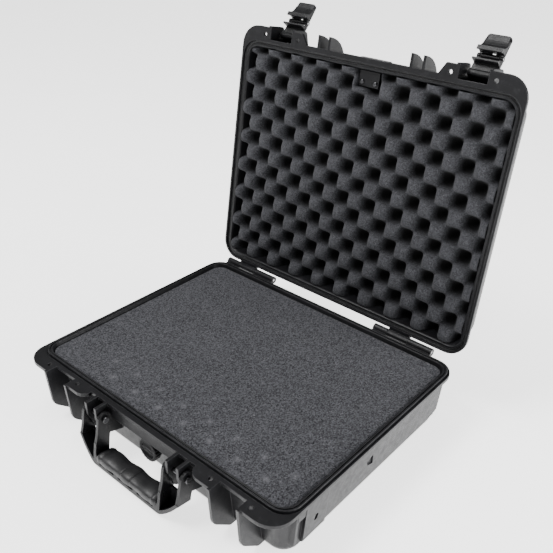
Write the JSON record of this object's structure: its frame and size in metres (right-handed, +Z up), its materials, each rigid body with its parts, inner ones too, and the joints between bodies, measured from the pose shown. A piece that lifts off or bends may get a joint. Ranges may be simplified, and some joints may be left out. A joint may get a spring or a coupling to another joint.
{
  "type": "hard equipment case",
  "caption": "Portable hard equipment case, open, with foam-filled base, egg-crate foam lid, throw latches, hinges, purge valve and fold-down carrying handle.",
  "frame": {"origin": "centre of the base's underside, on the surface the case stands on", "axes": "+Z up, -Y towards the carrying handle at the front, +Y towards the hinges, +X to the right as seen from the front"},
  "size_m": [0.4704, 0.5357, 0.5086],
  "materials": {
    "shell": "fine moulded texture, satin black polypropylene",
    "fittings": "smoother satin black moulded plastic",
    "rubber": "soft matte black rubber",
    "foam": "open-cell charcoal polyurethane foam",
    "steel": "plain stainless steel",
    "vent_film": "off-white porous membrane"
  },
  "bodies": {
    "base": {"base_shell": "shell", "foam_floor_pad": "foam", "foam_block_lower": "foam", "foam_block_upper": "foam", "handle_pin_left": "steel", "handle_pin_right": "steel", "hinge_pin_left": "steel", "hinge_pin_right": "steel", "valve_body": "fittings", "valve_seal": "rubber", "valve_nut": "fittings", "valve_membrane": "vent_film"},
    "lid": {"lid_shell": "shell", "lid_gasket": "rubber", "lid_foam": "foam", "lid_boss_plate": "fittings", "boss_screw_left": "steel", "boss_screw_right": "steel", "name_plate": "fittings", "latch_pivot_left": "steel", "latch_pivot_right": "steel"},
    "handle": {"handle_frame": "fittings", "handle_grip": "rubber"},
    "purge_knob": {"valve_knob": "fittings"},
    "left_latch": {"latch_arm_left": "fittings", "lever_pin_left": "steel"},
    "left_lever": {"latch_lever_left": "fittings"},
    "right_latch": {"latch_arm_right": "fittings", "lever_pin_right": "steel"},
    "right_lever": {"latch_lever_right": "fittings"}
  },
  "joints": [
    {"name": "lid_hinge", "type": "hinge", "parent": "base", "child": "lid", "pos_m": [0, 0.193, 0.085], "axis": [-1, 0, 0], "range_deg": [-98.4, 0]},
    {"name": "handle_swing", "type": "hinge", "parent": "base", "child": "handle", "pos_m": [0, -0.2, 0.067], "axis": [-1, 0, 0], "range_deg": [-9, 86]},
    {"name": "purge_knob_turn", "type": "hinge", "parent": "base", "child": "purge_knob", "pos_m": [0.005, -0.182, 0.045], "axis": [0, -1, 0], "range_deg": [0, 180]},
    {"name": "left_latch_swing", "type": "hinge", "parent": "lid", "child": "left_latch", "pos_m": [-0.1592, 0.27427, 0.4642], "axis": [-1, 0, 0], "range_deg": [-121, 40]},
    {"name": "left_lever_throw", "type": "hinge", "parent": "left_latch", "child": "left_lever", "pos_m": [-0.1592, 0.29157, 0.48337], "axis": [-1, 0, 0], "range_deg": [0, 60]},
    {"name": "right_latch_swing", "type": "hinge", "parent": "lid", "child": "right_latch", "pos_m": [0.1592, 0.27427, 0.4642], "axis": [-1, 0, 0], "range_deg": [-121, 40]},
    {"name": "right_lever_throw", "type": "hinge", "parent": "right_latch", "child": "right_lever", "pos_m": [0.1592, 0.29157, 0.48337], "axis": [-1, 0, 0], "range_deg": [0, 60]}
  ]
}
